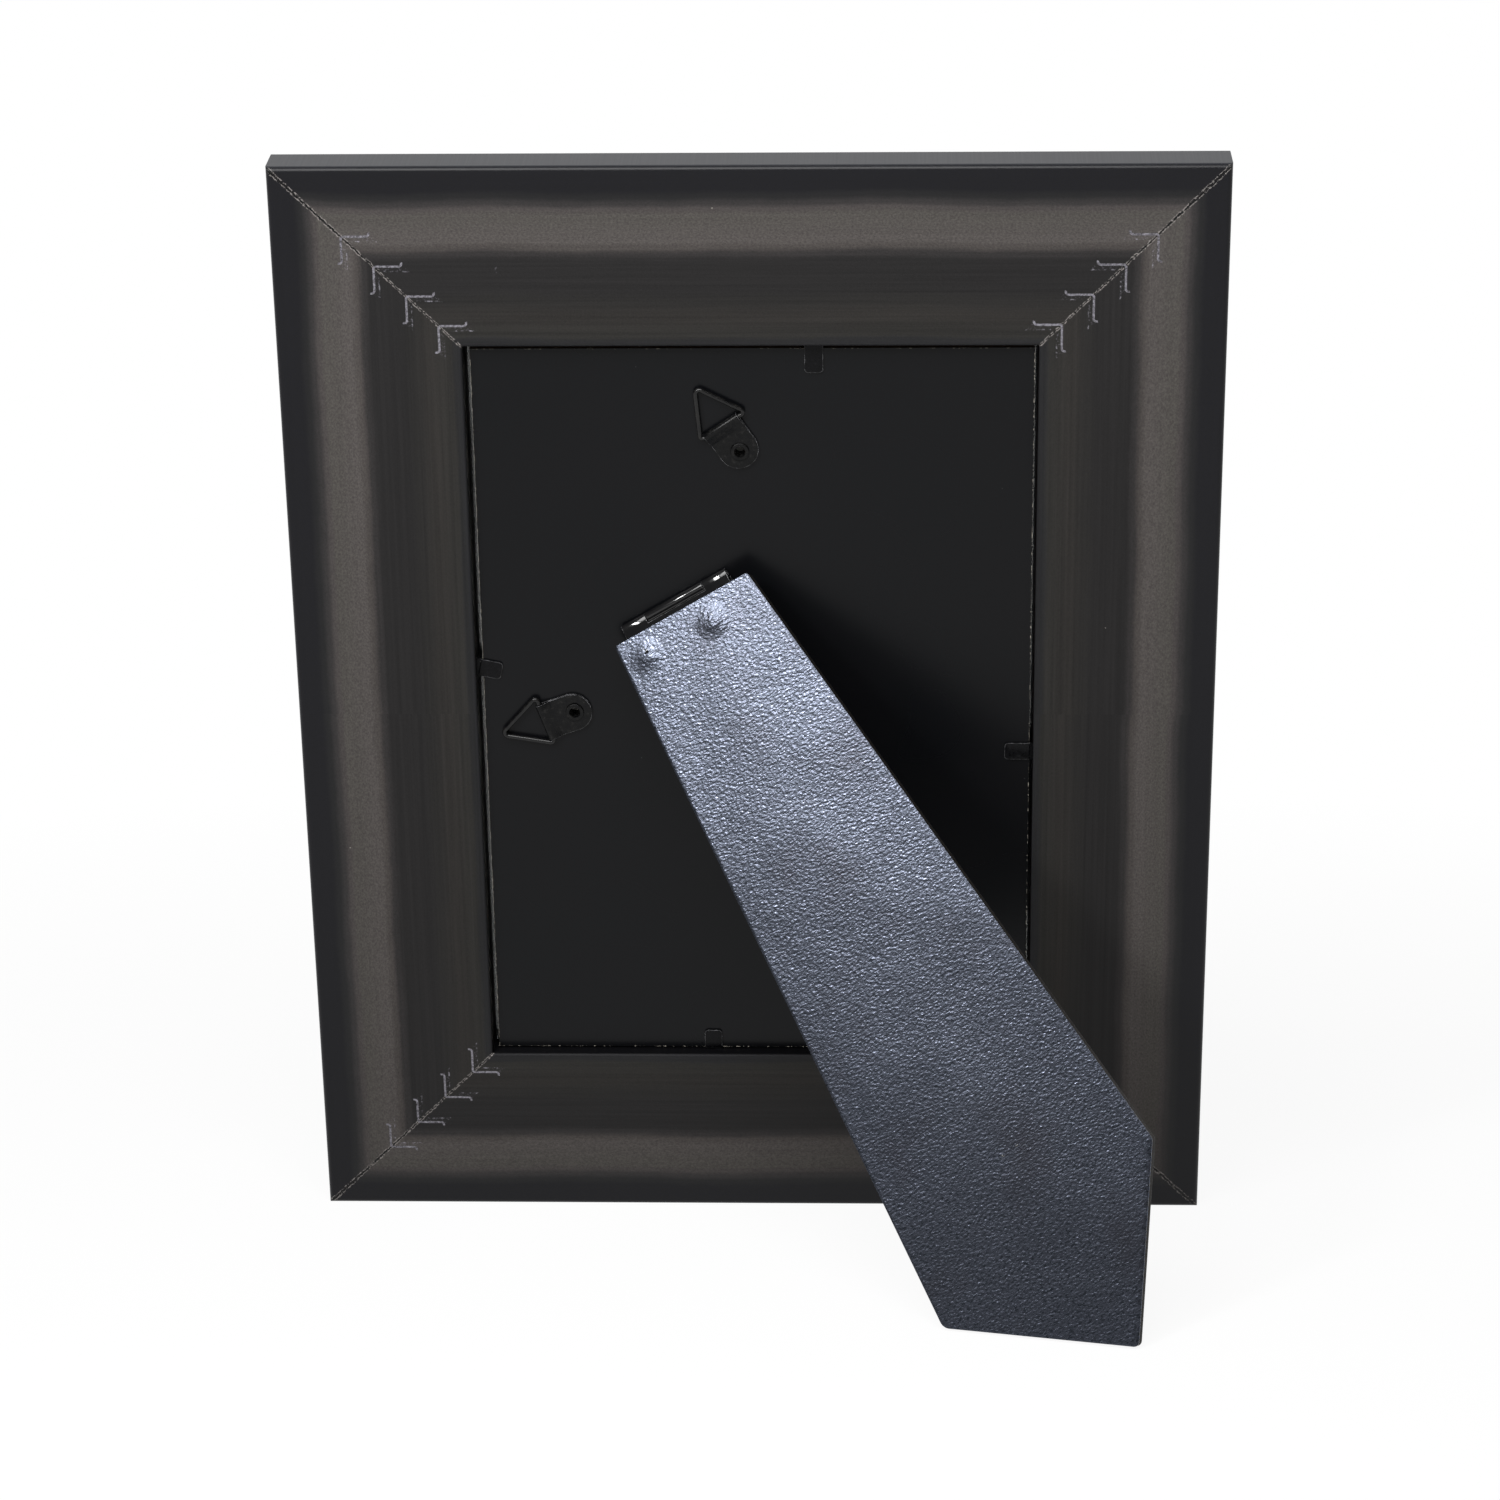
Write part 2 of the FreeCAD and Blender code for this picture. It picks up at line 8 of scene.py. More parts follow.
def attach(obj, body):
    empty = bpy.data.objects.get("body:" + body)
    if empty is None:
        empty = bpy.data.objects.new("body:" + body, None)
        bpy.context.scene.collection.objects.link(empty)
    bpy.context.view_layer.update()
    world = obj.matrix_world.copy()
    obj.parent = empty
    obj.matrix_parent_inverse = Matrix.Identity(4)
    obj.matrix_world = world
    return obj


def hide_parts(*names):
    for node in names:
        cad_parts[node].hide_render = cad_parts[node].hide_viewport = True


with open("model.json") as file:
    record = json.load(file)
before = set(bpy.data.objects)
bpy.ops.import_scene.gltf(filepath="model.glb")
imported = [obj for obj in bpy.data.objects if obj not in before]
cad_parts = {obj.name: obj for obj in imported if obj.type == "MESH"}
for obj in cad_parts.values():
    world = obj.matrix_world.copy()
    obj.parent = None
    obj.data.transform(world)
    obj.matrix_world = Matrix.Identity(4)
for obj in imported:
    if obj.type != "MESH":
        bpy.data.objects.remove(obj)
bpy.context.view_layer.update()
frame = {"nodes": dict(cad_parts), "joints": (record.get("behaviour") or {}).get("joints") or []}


# Camera
# It stands about a metre behind the frame and a little above it, square on, as the photograph
# was taken. Its lens and place come from the straight edges of the moulding.

lens = bpy.data.cameras.new("camera")
lens.sensor_width = 36.0
lens.lens = 101.67
camera = bpy.data.objects.new("camera", lens)
camera.location = (-0.03384, 0.95661, 0.30081)
camera.rotation_euler = (math.radians(79.4806), math.radians(0.3037), math.radians(-177.9954))
bpy.context.collection.objects.link(camera)
bpy.context.scene.camera = camera
bpy.context.scene.view_settings.view_transform = "Standard"


# Floor and light
# A plain white table top in front of a white backdrop, in a dim grey room. A lamp far off on the
# left of the camera draws the sheen on the strut, a softbox nearer by fills in, and another one
# hangs above the frame's back and lights its upper half most.

floor_radius = 3.0
floor_white = 0.88
floor_bounce = 0.2                     # part of its light that reaches the object
near_white, far_white = 0.92, 1.0      # share of plain white in what the camera and mirrors see
near_edge, far_edge = 0.2, 0.6         # metres from the middle, where that share changes
room_grey = 0.15


def feed(tree, node, inputs):
    """Feeds a node by other nodes' outputs or by plain values."""
    for name, value in inputs.items():
        if isinstance(value, bpy.types.NodeSocket):
            tree.links.new(value, node.inputs[name])
        else:
            node.inputs[name].default_value = value


def wire(tree, kind, inputs=None, **settings):
    """A new node with its settings and what feeds it."""
    made = tree.nodes.new(kind)
    for name, value in settings.items():
        setattr(made, name, value)
    feed(tree, made, inputs or {})
    return made


def maths(tree, operation, *values):
    """The result of one sum on values or outputs."""
    inputs = dict(enumerate(values))
    return wire(tree, "ShaderNodeMath", inputs, operation=operation).outputs[0]


def nothing_selected():
    if bpy.context.mode != "OBJECT":
        bpy.ops.object.mode_set(mode="OBJECT")
    bpy.ops.object.select_all(action="DESELECT")


def new_finish(name):
    """A new material, its node tree and its shader."""
    finish = bpy.data.materials.new(name)
    finish.use_nodes = True
    return finish, finish.node_tree, finish.node_tree.nodes["Principled BSDF"]


def seen_directly(tree):
    """1 for what the camera, a mirror or a window sees, and 0 for light on the object."""
    path = wire(tree, "ShaderNodeLightPath")
    glossy = maths(tree, "MAXIMUM", path.outputs["Is Camera Ray"], path.outputs["Is Glossy Ray"])
    return maths(tree, "MAXIMUM", glossy, path.outputs["Is Transmission Ray"])


nothing_selected()
bpy.ops.mesh.primitive_circle_add(vertices=96, radius=floor_radius, fill_type="NGON")
floor = bpy.context.object
floor.name = "floor"
table_white, tree, shader = new_finish("table_white")
given_back = maths(tree, "MULTIPLY_ADD", wire(tree, "ShaderNodeLightPath").outputs["Is Diffuse Ray"],
                   floor_white * (floor_bounce - 1.0), floor_white)
feed(tree, shader, {"Base Color": given_back, "Roughness": 0.9, "Specular IOR Level": 0.0})
plain = wire(tree, "ShaderNodeEmission", {"Color": (1, 1, 1, 1), "Strength": 1.0})
here = wire(tree, "ShaderNodeTexCoord").outputs["Object"]
away = wire(tree, "ShaderNodeVectorMath", {0: here}, operation="LENGTH").outputs["Value"]
whiteness = wire(tree, "ShaderNodeMapRange", {"Value": away, "From Min": near_edge, "From Max": far_edge,
                                              "To Min": near_white, "To Max": far_white})
share = maths(tree, "MULTIPLY", seen_directly(tree), whiteness.outputs["Result"])
mixed = wire(tree, "ShaderNodeMixShader", {0: share, 1: shader.outputs[0], 2: plain.outputs[0]})
tree.links.new(mixed.outputs[0], tree.nodes["Material Output"].inputs["Surface"])
floor.data.materials.append(table_white)

world = bpy.data.worlds.new("studio")
bpy.context.scene.world = world
world.use_nodes = True
tree = world.node_tree
towards = wire(tree, "ShaderNodeTexCoord").outputs["Generated"]
depth = wire(tree, "ShaderNodeSeparateXYZ", {0: towards}).outputs["Y"]
behind = wire(tree, "ShaderNodeMapRange", {"Value": depth, "From Min": 0.1, "From Max": -0.25})
path = wire(tree, "ShaderNodeLightPath")
plain = maths(tree, "MAXIMUM", path.outputs["Is Camera Ray"], path.outputs["Is Transmission Ray"])
mirrored = maths(tree, "MULTIPLY", path.outputs["Is Glossy Ray"], behind.outputs["Result"])
plain = maths(tree, "MAXIMUM", plain, mirrored)
level = maths(tree, "MULTIPLY_ADD", plain, 1.0 - room_grey, room_grey)
tree.links.new(level, tree.nodes["Background"].inputs["Color"])


def soft_lamp(name, place, aim, width, height, watts):
    """A softbox that shines at a point and isn't seen itself."""
    light = bpy.data.lights.new(name, "AREA")
    light.shape = "RECTANGLE"
    light.size = width
    light.size_y = height
    light.energy = watts
    lamp = bpy.data.objects.new(name, light)
    lamp.location = place
    lamp.rotation_euler = (Vector(aim) - Vector(place)).to_track_quat("-Z", "Y").to_euler()
    lamp.visible_camera = False
    bpy.context.collection.objects.link(lamp)


soft_lamp("lamp_far", (1.317, 1.876, 1.152), (0.02, 0, 0.12), 0.32, 0.32, 33.0)
soft_lamp("lamp_left", (0.58, 0.96, 0.81), (0, 0, 0.14), 0.72, 0.72, 1.8)
soft_lamp("lamp_above", (0.05, 0.50, 0.60), (0, 0, 0.20), 0.50, 0.35, 5.6)


# Moulding
# Four lengths of flat backed moulding, mitred and joined at the corners. The wood is painted
# black all over: smoothly and bluish round the outer edge, thinly along the middle of the back,
# where the brown shows through, and with streaks from the planer towards the rebate.

lean = math.radians(14.0)
bench_origin = Vector((0, -0.0495940, -0.0002547))      # metres: lower back edge, in the middle
across = Vector((-1, 0, 0))
up = Vector((0, math.sin(lean), math.cos(lean)))
out = Vector((0, math.cos(lean), -math.sin(lean)))
half_width = 107.0                                      # millimetres, from here on
frame_height = 265.0
back_width = 42.0
rounded_to, flat_from = -0.9, -0.25    # depths where the outer edge ends and the flat back starts
rebate_from, rebate_to = 41.0, 41.8
nails_in_mitre = 4
nail_first = 16.0                      # the first nail's point, from the outer edge
nail_pitch = 7.0
nail_reach = 6.9                       # a nail's leg, sideways from the mitre
scratch_middle, scratch_radius = (-55.6, 241.1, 0.0), 1.1


def paint(code):
    """A colour as a paint chart gives it, for a shader."""
    parts = [int(code[i:i + 2], 16) / 255 for i in (0, 2, 4)]
    return [c / 12.92 if c < 0.04045 else ((c + 0.055) / 1.055) ** 2.4 for c in parts] + [1]


def new_group(name, takes, gives):
    """An empty shader group with named sockets, and its input and output nodes."""
    group = bpy.data.node_groups.new(name, "ShaderNodeTree")
    for word, kind in takes.items():
        group.interface.new_socket(word, in_out="INPUT", socket_type=kind)
    for word, kind in gives.items():
        group.interface.new_socket(word, in_out="OUTPUT", socket_type=kind)
    return group, group.nodes.new("NodeGroupInput"), group.nodes.new("NodeGroupOutput")


def place_group(name, origin, axes):
    """Millimetres along three directions of a piece, from its own origin."""
    number = "NodeSocketFloat"
    group, given, result = new_group(name, {}, {"Across": number, "Up": number, "Out": number,
                                                "Place": "NodeSocketVector"})
    here = wire(group, "ShaderNodeTexCoord").outputs["Object"]
    start = wire(group, "ShaderNodeVectorMath", {0: here, 1: origin}, operation="SUBTRACT")
    parts = []
    for word, direction in zip(("Across", "Up", "Out"), axes):
        part = wire(group, "ShaderNodeVectorMath", {0: start.outputs[0], 1: direction * 1000},
                    operation="DOT_PRODUCT")
        group.links.new(part.outputs["Value"], result.inputs[word])
        parts.append(part.outputs["Value"])
    joined = wire(group, "ShaderNodeCombineXYZ", dict(enumerate(parts)))
    group.links.new(joined.outputs[0], result.inputs["Place"])
    return group


def used(tree, group, inputs=None):
    """A group placed in a tree."""
    return wire(tree, "ShaderNodeGroup", inputs, node_tree=group)


def stretched(tree, place, x, y, z):
    """A place with its three directions drawn out or pressed together."""
    return wire(tree, "ShaderNodeVectorMath", {0: place, 1: (x, y, z)}, operation="MULTIPLY").outputs[0]


def mottle(tree, place, scale, detail=2.0, rough=0.5):
    """Cloudy noise from 0 to 1 at so many lumps a millimetre."""
    return wire(tree, "ShaderNodeTexNoise", {"Vector": place, "Scale": scale, "Detail": detail,
                                             "Roughness": rough}).outputs["Fac"]


def ranged(tree, value, low, high, to_low=0.0, to_high=1.0):
    """A value brought from one range to another, and held at its ends."""
    made = wire(tree, "ShaderNodeMapRange", {"Value": value, "From Min": low, "From Max": high,
                                             "To Min": to_low, "To Max": to_high})
    return made.outputs["Result"]


def ramp(tree, value, stops, easing="EASE"):
    """A run of colours along a value."""
    made = wire(tree, "ShaderNodeValToRGB", {"Fac": value})
    made.color_ramp.interpolation = easing
    points = made.color_ramp.elements
    while len(points) < len(stops):
        points.new(0.5)
    for point, (place, code) in zip(points, stops):
        point.position = place
        point.color = paint(code)
    return made.outputs["Color"]


def blended(tree, share, first, second):
    """Two colours mixed by a share."""
    return wire(tree, "ShaderNodeMix", {0: share, 6: first, 7: second}, data_type="RGBA").outputs[2]


def marked(tree, mask, depth, under, code):
    """A colour laid so thickly over another where a mask is."""
    return blended(tree, maths(tree, "MULTIPLY", mask, depth), under, paint(code))


def varied(tree, middle, noise, depth):
    """A value that noise moves up and down."""
    return maths(tree, "MULTIPLY_ADD", maths(tree, "SUBTRACT", noise, 0.5), depth, middle)


def far_from(tree, value, mark):
    """How far a value is from a mark, on either side of it."""
    return maths(tree, "ABSOLUTE", maths(tree, "SUBTRACT", value, mark))


def distance(tree, place, point):
    return wire(tree, "ShaderNodeVectorMath", {0: place, 1: point}, operation="DISTANCE").outputs["Value"]


def raised(tree, height, strength, distance):
    """A normal for a shader, from the height of a fine relief in metres."""
    return wire(tree, "ShaderNodeBump", {"Height": height, "Strength": strength,
                                         "Distance": distance}).outputs["Normal"]


bench_place = place_group("bench_place", bench_origin, (across, up, out))

# A worn line at no distance, a width wide, of which a share is there in crumbs.
number, arrow = "NodeSocketFloat", "NodeSocketVector"
broken_line, given, result = new_group(
    "broken_line", {"Distance": number, "Width": number, "Cover": number, "Place": arrow, "Grain": number},
    {"Mask": number})
near = maths(broken_line, "DIVIDE", given.outputs["Distance"], given.outputs["Width"])
near = ranged(broken_line, near, 1.0, 0.7)
crumbs = wire(broken_line, "ShaderNodeTexNoise", {"Vector": given.outputs["Place"],
                                                 "Scale": given.outputs["Grain"], "Detail": 3.0,
                                                 "Roughness": 0.65}).outputs["Fac"]
gap = maths(broken_line, "SUBTRACT", 1.0, given.outputs["Cover"])
gap = maths(broken_line, "MULTIPLY_ADD", gap, 0.5, 0.25)
there = maths(broken_line, "MULTIPLY", maths(broken_line, "SUBTRACT", crumbs, gap), 9.0)
there = wire(broken_line, "ShaderNodeClamp", {"Value": there}).outputs[0]
broken_line.links.new(maths(broken_line, "MULTIPLY", near, there), result.inputs["Mask"])

# Specks of one size, one to a cell in a share of the cells.
dust, given, result = new_group(
    "dust", {"Place": arrow, "Spacing": number, "Size": number, "Amount": number}, {"Mask": number})
cells = wire(dust, "ShaderNodeTexVoronoi", {
    "Vector": given.outputs["Place"], "Scale": maths(dust, "DIVIDE", 1.0, given.outputs["Spacing"])})
apart = maths(dust, "MULTIPLY", cells.outputs["Distance"], given.outputs["Spacing"])
speck = maths(dust, "LESS_THAN", apart, given.outputs["Size"])
chance = wire(dust, "ShaderNodeSeparateColor", {"Color": cells.outputs["Color"]}).outputs[0]
chosen = maths(dust, "LESS_THAN", chance, given.outputs["Amount"])
dust.links.new(maths(dust, "MULTIPLY", speck, chosen), result.inputs["Mask"])


def line_mask(tree, from_line, width, cover, place, grain):
    return used(tree, broken_line, {"Distance": from_line, "Width": width, "Cover": cover, "Place": place,
                                    "Grain": grain}).outputs["Mask"]


def dust_mask(tree, place, spacing, size, amount):
    return used(tree, dust, {"Place": place, "Spacing": spacing, "Size": size,
                             "Amount": amount}).outputs["Mask"]


# Bands, streaks and speckle run along each rail, with other noise on each of the four.
moulding_black, tree, shader = new_finish("moulding_black")
bench = used(tree, bench_place)
from_side = maths(tree, "SUBTRACT", half_width, maths(tree, "ABSOLUTE", bench.outputs["Across"]))
from_top = maths(tree, "SUBTRACT", frame_height, bench.outputs["Up"])
from_end = maths(tree, "MINIMUM", bench.outputs["Up"], from_top)
edge_in = maths(tree, "MINIMUM", from_side, from_end)
upright = maths(tree, "LESS_THAN", from_side, from_end)
run_up = maths(tree, "MULTIPLY", bench.outputs["Up"], upright)
run_across = maths(tree, "MULTIPLY", bench.outputs["Across"], maths(tree, "SUBTRACT", 1.0, upright))
run = maths(tree, "ADD", run_up, run_across)
which = maths(tree, "MULTIPLY_ADD", maths(tree, "SIGN", bench.outputs["Across"]), upright, 2.0)
beyond = maths(tree, "GREATER_THAN", bench.outputs["Up"], frame_height / 2)
which = maths(tree, "MULTIPLY", maths(tree, "MULTIPLY_ADD", beyond, 5.0, which), 31.7)
along_rail = wire(tree, "ShaderNodeCombineXYZ", {0: edge_in, 1: run, 2: which}).outputs[0]

sway = mottle(tree, stretched(tree, along_rail, 0.0, 0.022, 1.0), 1.0, 1.0)
fray = mottle(tree, stretched(tree, along_rail, 0.35, 0.2, 1.0), 1.0, 3.0)
bands_at = varied(tree, varied(tree, edge_in, sway, 2.6), fray, 0.8)
bands = ramp(tree, maths(tree, "DIVIDE", bands_at, back_width), [
    (0.0, "0e0e12"), (0.125, "0e0e12"), (0.165, "1a1a1b"), (0.205, "2e2c2c"), (0.235, "423e3d"),
    (0.265, "484542"), (0.41, "4c4846"), (0.443, "433f3d"), (0.481, "2a2828"), (0.522, "1c1b1b"),
    (0.68, "1c1b1b"), (0.74, "1f1e1d"), (0.83, "262422"), (0.94, "242321"), (0.965, "1d1d1e"),
    (1.0, "19191b")])
streaks = mottle(tree, stretched(tree, along_rail, 1.1, 0.012, 1.0), 1.0, 4.0, 0.62)
speckle = mottle(tree, stretched(tree, along_rail, 2.6, 1.7, 1.0), 1.0, 3.0, 0.7)
pale = ranged(tree, edge_in, 7.0, 11.0)
inner = ranged(tree, edge_in, 18.0, 22.0)
streak_depth = maths(tree, "MULTIPLY_ADD", inner, 1.0, 0.35)
speckle_depth = maths(tree, "MULTIPLY_ADD", maths(tree, "SUBTRACT", pale, inner), 0.8, 0.9)
tone = varied(tree, varied(tree, 1.0, streaks, streak_depth), speckle, speckle_depth)
# The back's colour is darkened towards the bottom, a painted shade for the light falling off down the frame.
tone = maths(tree, "MULTIPLY", tone, ranged(tree, bench.outputs["Up"], 0.0, 110.0, 0.79, 0.91))
back_colour = wire(tree, "ShaderNodeVectorMath", {0: bands, 3: tone}, operation="SCALE").outputs[0]

# The mitre has opened, with torn paint beside it. Each nail has pushed up an echo and fuzz of
# paint below its legs, and the upper rail has a small curled scratch.
from_mitre = maths(tree, "MULTIPLY", maths(tree, "SUBTRACT", from_side, from_end), math.sqrt(0.5))
wander = mottle(tree, bench.outputs["Place"], 0.9, 3.0, 0.7)
from_mitre = maths(tree, "ABSOLUTE", varied(tree, from_mitre, wander, 0.9))
open_joint = ranged(tree, edge_in, 26.0, 3.0, 0.11, 0.36)
at = bench.outputs["Place"]
torn = line_mask(tree, from_mitre, maths(tree, "ADD", open_joint, 0.24), 0.62, at, 1.5)
joint = line_mask(tree, from_mitre, open_joint, 0.85, at, 0.6)
nail_row = maths(tree, "SUBTRACT", edge_in, nail_first - nail_pitch / 2)
below_leg = maths(tree, "SUBTRACT", maths(tree, "MODULO", nail_row, nail_pitch), nail_pitch / 2)
past_apex = maths(tree, "SUBTRACT", maths(tree, "MAXIMUM", from_side, from_end), edge_in)
beside_nail = maths(tree, "MULTIPLY", maths(tree, "LESS_THAN", past_apex, nail_reach),
                    maths(tree, "GREATER_THAN", past_apex, 1.2))
rows_middle = nail_first + (nails_in_mitre - 1) / 2 * nail_pitch
in_row = maths(tree, "LESS_THAN", far_from(tree, edge_in, rows_middle), nails_in_mitre / 2 * nail_pitch)
beside_nail = maths(tree, "MULTIPLY", beside_nail, in_row)
echo = line_mask(tree, far_from(tree, below_leg, 1.15), 0.18, 0.45, at, 0.9)
fuzz = line_mask(tree, far_from(tree, below_leg, 0.5), 0.9, 0.40, at, 1.9)
echo = maths(tree, "MULTIPLY", echo, beside_nail)
fuzz = maths(tree, "MULTIPLY", fuzz, beside_nail)
specks = dust_mask(tree, at, 9.0, 0.16, 0.3)
curl_at = far_from(tree, distance(tree, at, scratch_middle), scratch_radius)
curl = line_mask(tree, curl_at, 0.2, 0.3, at, 0.5)
worn = marked(tree, torn, 0.75, back_colour, "918c89")
worn = marked(tree, fuzz, 0.3, worn, "7b7880")
worn = marked(tree, echo, 0.7, worn, "8a8890")
worn = marked(tree, curl, 0.6, worn, "8a8890")
worn = marked(tree, specks, 0.7, worn, "8f8c86")
worn = blended(tree, joint, worn, paint("050505"))

flat_back = ranged(tree, bench.outputs["Out"], rounded_to, flat_from)
# The rebate's walls get near black, a painted shade for their depth; the other sides keep the satin paint.
rebate_shade_share = ranged(tree, edge_in, rebate_from, rebate_to)
side_paint_and_rebate_shade = blended(tree, rebate_shade_share, paint("26272b"), paint("08080a"))
bare = maths(tree, "MULTIPLY", pale, flat_back)
dull = maths(tree, "MULTIPLY_ADD", bare, 0.30, 0.36)
relief_depth = maths(tree, "MULTIPLY_ADD", bare, 0.9, 0.1)
relief = maths(tree, "MULTIPLY", maths(tree, "ADD", speckle, streaks), relief_depth)
feed(tree, shader, {"Base Color": blended(tree, flat_back, side_paint_and_rebate_shade, worn),
                    "Roughness": varied(tree, dull, speckle, 0.12),
                    "Normal": raised(tree, relief, 0.35, 0.00012),
                    "Specular IOR Level": 0.2})
for rail in ("rail_left", "rail_right", "rail_bottom", "rail_top"):
    frame["nodes"][rail].material_slots[0].material = moulding_black


# Corner nails
# V shaped nails of thin steel strip, pressed into the back across each mitre. Their edges are
# flush with the wood and rubbed bright, with dark scale left in the hollows.

nail_steel, tree, shader = new_finish("nail_steel")
bench = used(tree, bench_place)
inwards = maths(tree, "SUBTRACT", half_width, maths(tree, "ABSOLUTE", bench.outputs["Across"]))
scale_left = mottle(tree, bench.outputs["Place"], 1.6, 4.0, 0.7)
rubbed = maths(tree, "ADD", scale_left, ranged(tree, inwards, nail_first, back_width, 0.0, 0.06))
bright = ramp(tree, rubbed, [(0.36, "201f21"), (0.5, "605e64"), (0.63, "86848c")], "LINEAR")
feed(tree, shader, {"Base Color": bright, "Roughness": ranged(tree, scale_left, 0.3, 0.7, 0.6, 0.42),
                    "Normal": raised(tree, scale_left, 0.5, 0.0001), "Metallic": 0.3})
for corner in ("top_left", "top_right", "bottom_right", "bottom_left"):
    frame["nodes"]["corner_nails_" + corner].material_slots[0].material = nail_steel


# Back panel
# A sheet of brown fibreboard faced with smooth black paper. It was sawn to size after facing, so
# pale fibres stand along its cut edges.

panel_left, panel_right = -63.6, 64.2
panel_bottom, panel_top = 42.4, 221.4

panel_black, tree, shader = new_finish("panel_black")
bench = used(tree, bench_place)
at = bench.outputs["Place"]
to_left = maths(tree, "SUBTRACT", bench.outputs["Across"], panel_left)
to_right = maths(tree, "SUBTRACT", panel_right, bench.outputs["Across"])
to_bottom = maths(tree, "SUBTRACT", bench.outputs["Up"], panel_bottom)
to_top = maths(tree, "SUBTRACT", panel_top, bench.outputs["Up"])
fibres = line_mask(tree, maths(tree, "MINIMUM", to_left, to_right), 0.17, 0.46, at, 1.6)
few_fibres = line_mask(tree, maths(tree, "MINIMUM", to_bottom, to_top), 0.2, 0.4, at, 1.2)
sawn = maths(tree, "MAXIMUM", fibres, few_fibres)
specks = dust_mask(tree, at, 7.0, 0.14, 0.35)
cloud = mottle(tree, at, 0.02, 2.0)
ground = ramp(tree, cloud, [(0.3, "07080a"), (0.7, "09090b")], "LINEAR")
ground = marked(tree, specks, 0.35, ground, "6a6a6c")
smooth = maths(tree, "MULTIPLY_ADD", cloud, 0.08, 0.24)
feed(tree, shader, {"Base Color": blended(tree, sawn, ground, paint("a39d92")),
                    "Roughness": maths(tree, "MULTIPLY_ADD", sawn, 0.5, smooth),
                    "Normal": raised(tree, mottle(tree, at, 1.2, 2.0), 0.15, 0.00004),
                    "Specular IOR Level": 0.16})
frame["nodes"]["panel_facing"].material_slots[0].material = panel_black

brown_fibreboard, tree, shader = new_finish("brown_fibreboard")
at = used(tree, bench_place).outputs["Place"]
felted = mottle(tree, stretched(tree, at, 1.0, 1.0, 4.0), 1.3, 5.0, 0.7)
feed(tree, shader, {"Base Color": ramp(tree, felted, [(0.3, "4a382a"), (0.7, "7a614a")], "LINEAR"),
                    "Normal": raised(tree, felted, 0.5, 0.0002), "Roughness": 0.85})
frame["nodes"]["back_panel"].material_slots[0].material = brown_fibreboard


# Window and insert
# A pane of two millimetre float glass, and behind it a plain card in place of a print. The card's
# copy is thinner by about a hundredth of a millimetre a side than the card, because it touches the
# pane, and of two faces in one plane neither is the one that light meets first.

card_play = 0.00002                    # metres along each corner's normal

window_glass, tree, shader = new_finish("window_glass")
at = used(tree, bench_place).outputs["Place"]
waves = mottle(tree, at, 0.02, 1.0)
feed(tree, shader, {"Base Color": ramp(tree, waves, [(0.3, "f4faf7"), (0.7, "f9fdfb")], "LINEAR"),
                    "Roughness": ranged(tree, waves, 0.3, 0.7, 0.0, 0.02),
                    "Transmission Weight": 1.0, "IOR": 1.5})
frame["nodes"]["glass_pane"].material_slots[0].material = window_glass

plain_card, tree, shader = new_finish("plain_card")
at = used(tree, bench_place).outputs["Place"]
pulp = mottle(tree, at, 0.9, 5.0, 0.6)
feed(tree, shader, {"Base Color": ramp(tree, pulp, [(0.3, "e2e0d9"), (0.7, "eeece6")], "LINEAR"),
                    "Normal": raised(tree, pulp, 0.2, 0.00005), "Roughness": 0.8})


def copied(node, body, finish, width=0.0, edge_finish=None):
    """A merged copy that stands for a CAD node, with its edges rounded and given the edge finish if a width
    is given.
    """
    nothing_selected()
    source = frame["nodes"][node]
    source.select_set(True)
    bpy.context.view_layer.objects.active = source
    bpy.ops.object.duplicate()
    piece = bpy.context.object
    piece.name = node + "_eased"
    bpy.ops.object.mode_set(mode="EDIT")
    bpy.ops.mesh.select_all(action="SELECT")
    bpy.ops.mesh.remove_doubles(threshold=0.000002)
    bpy.ops.mesh.dissolve_limited(angle_limit=math.radians(0.3))
    bpy.ops.object.mode_set(mode="OBJECT")
    piece.material_slots[0].material = finish
    if width:
        piece.data.materials.append(edge_finish)
        rounding = piece.modifiers.new("rounding", "BEVEL")
        rounding.material = 1
        rounding.width = width
        rounding.segments = 2
        rounding.limit_method = "ANGLE"
        rounding.angle_limit = math.radians(35)
        rounding.use_clamp_overlap = True
        bpy.ops.object.modifier_apply(modifier="rounding")
    bpy.ops.object.shade_smooth_by_angle(angle=math.radians(32))
    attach(piece, body)
    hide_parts(node)


copied("photo_insert", "frame", plain_card)
bpy.ops.object.mode_set(mode="EDIT")
bpy.ops.mesh.select_all(action="SELECT")
bpy.ops.transform.shrink_fatten(value=-card_play)
bpy.ops.object.mode_set(mode="OBJECT")


# Flexible tabs
# Four strips of black coated spring steel, fired into the rebate's walls and bent down on the
# panel. Their stamped edges are slightly rounded and pale, partly rubbed bare and partly a painted
# highlight.

tab_ease = 0.00009                     # metres
# The pale finish of rounded edges: partly rubbed bare steel, partly a painted highlight along the edge.
rubbed_edge_and_highlight, tree, shader = new_finish("rubbed_edge_and_highlight")
at = used(tree, bench_place).outputs["Place"]
patches = mottle(tree, at, 0.7, 3.0, 0.6)
bare_steel_and_highlight = ramp(tree, patches, [(0.40, "121213"), (0.52, "4c4c4e"), (0.68, "77777a")], "LINEAR")
feed(tree, shader, {"Base Color": bare_steel_and_highlight, "Roughness": ranged(tree, patches, 0.3, 0.7, 0.5, 0.36),
                    "Metallic": 0.3})

